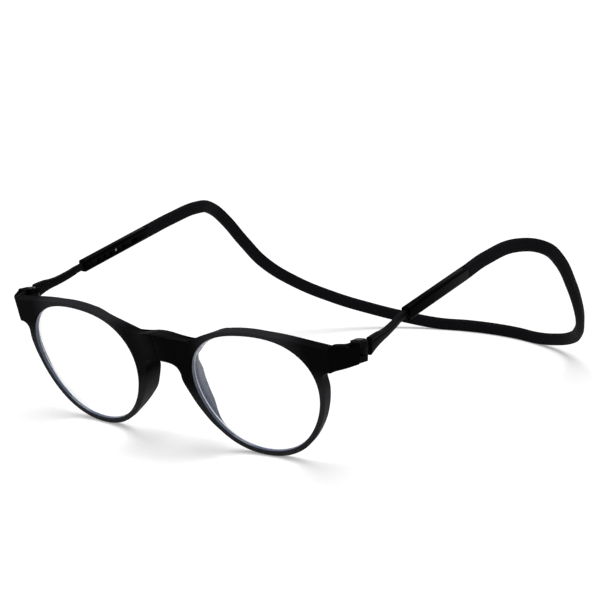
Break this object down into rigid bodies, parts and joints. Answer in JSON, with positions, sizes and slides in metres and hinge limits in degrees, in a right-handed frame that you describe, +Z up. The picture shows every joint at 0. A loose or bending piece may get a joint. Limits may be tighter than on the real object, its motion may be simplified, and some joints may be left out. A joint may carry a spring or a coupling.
{
  "type": "magnetic bridge reading glasses",
  "caption": "Round reading glasses that part at a magnetic bridge, on hinged arms that slide in the sleeves of a springy neck band.",
  "frame": {"origin": "on the table under the middle of the outline", "axes": "+Z up, lenses towards -Y, left on -X and right on +X as seen from the front"},
  "size_m": [0.1456, 0.2046, 0.0585],
  "materials": {
    "front_plastic": "polished black",
    "arm_plastic": "satin black",
    "sleeve_plastic": "polished black",
    "band_rubber": "matt dark grey, soft touch",
    "lens_clear": "clear, coated",
    "magnet_plating": "nickel plated",
    "screw_steel": "dark steel",
    "insert_brass": "plain",
    "bush_plastic": "natural",
    "spring_steel": "plain"
  },
  "bodies": {
    "neck_band": {"neck_band": "band_rubber", "band_core": "spring_steel", "sleeve_left": "sleeve_plastic"},
    "right_sleeve": {"sleeve_right": "sleeve_plastic"},
    "left_arm": {"arm_left": "arm_plastic", "hinge_bush_left": "bush_plastic", "click_tongue_left": "spring_steel"},
    "right_arm": {"arm_right": "arm_plastic", "hinge_bush_right": "bush_plastic", "click_tongue_right": "spring_steel"},
    "left_front": {"front_left": "front_plastic", "lens_left": "lens_clear", "bridge_magnet_left": "magnet_plating", "hinge_screw_left": "screw_steel", "hinge_nut_left": "insert_brass"},
    "right_front": {"front_right": "front_plastic", "lens_right": "lens_clear", "bridge_magnet_right": "magnet_plating", "hinge_screw_right": "screw_steel", "hinge_nut_right": "insert_brass"}
  },
  "joints": [
    {"name": "band_flex", "type": "hinge", "parent": "neck_band", "child": "right_sleeve", "pos_m": [0, 0.10079, 0.00225], "axis": [0, 0, 1], "range_deg": [0, 30], "stiffness_Nm_per_rad": 0.3, "deforming": ["neck_band", "band_core"]},
    {"name": "left_arm_slide", "type": "slide", "parent": "neck_band", "child": "left_arm", "axis": [0, 0.9755, 0.2198], "range_m": [-0.0099, 0.0033], "deforming": ["click_tongue_left"]},
    {"name": "right_arm_slide", "type": "slide", "parent": "right_sleeve", "child": "right_arm", "axis": [0, 0.9755, 0.2198], "range_m": [-0.0099, 0.0033], "deforming": ["click_tongue_right"]},
    {"name": "left_front_hinge", "type": "hinge", "parent": "left_arm", "child": "left_front", "pos_m": [-0.0658, -0.08701, 0.03699], "axis": [0, 0, -1], "range_deg": [0, 90]},
    {"name": "right_front_hinge", "type": "hinge", "parent": "right_arm", "child": "right_front", "pos_m": [0.0658, -0.08701, 0.03699], "axis": [0, 0, 1], "range_deg": [0, 90]}
  ]
}
